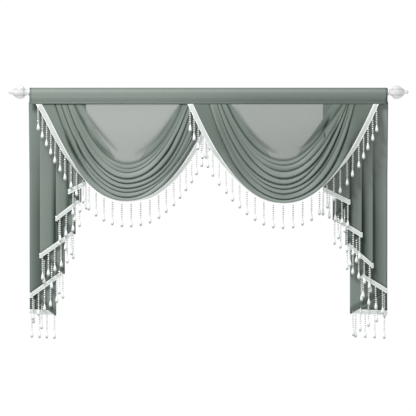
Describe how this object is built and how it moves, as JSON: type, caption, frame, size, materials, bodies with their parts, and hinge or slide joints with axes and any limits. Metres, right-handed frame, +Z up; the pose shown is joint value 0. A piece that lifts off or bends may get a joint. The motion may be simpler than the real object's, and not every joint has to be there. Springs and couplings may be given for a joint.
{
  "type": "swag and tail drape on a curtain rod",
  "caption": "Sheer window valance with two draped swags and two pleated side tails, edged with braid and bead drops, hung on a straight rod with finials.",
  "frame": {"origin": "on the axis of the curtain rod, halfway along its length", "axes": "+X along the rod to the viewer's right, +Z up, -Y towards the room, which the front of the drape faces"},
  "size_m": [1.6858, 0.1224, 1.0729],
  "materials": {
    "sheer_cloth": "fine grey-green sheer voile, matt with a slight sheen",
    "braid_and_beads": "white woven braid with clear bead drops",
    "crystal": "clear faceted acrylic",
    "rod_metal": "satin white paint"
  },
  "bodies": {
    "root": {"rod": "rod_metal", "finial_left": "crystal", "finial_right": "crystal", "header": "sheer_cloth", "swag_left": "sheer_cloth", "swag_right": "sheer_cloth", "tail_left": "sheer_cloth", "tail_right": "sheer_cloth", "fringe_swag_left": "braid_and_beads", "fringe_swag_right": "braid_and_beads", "fringe_tail_left": "braid_and_beads", "fringe_tail_right": "braid_and_beads"}
  },
  "joints": []
}
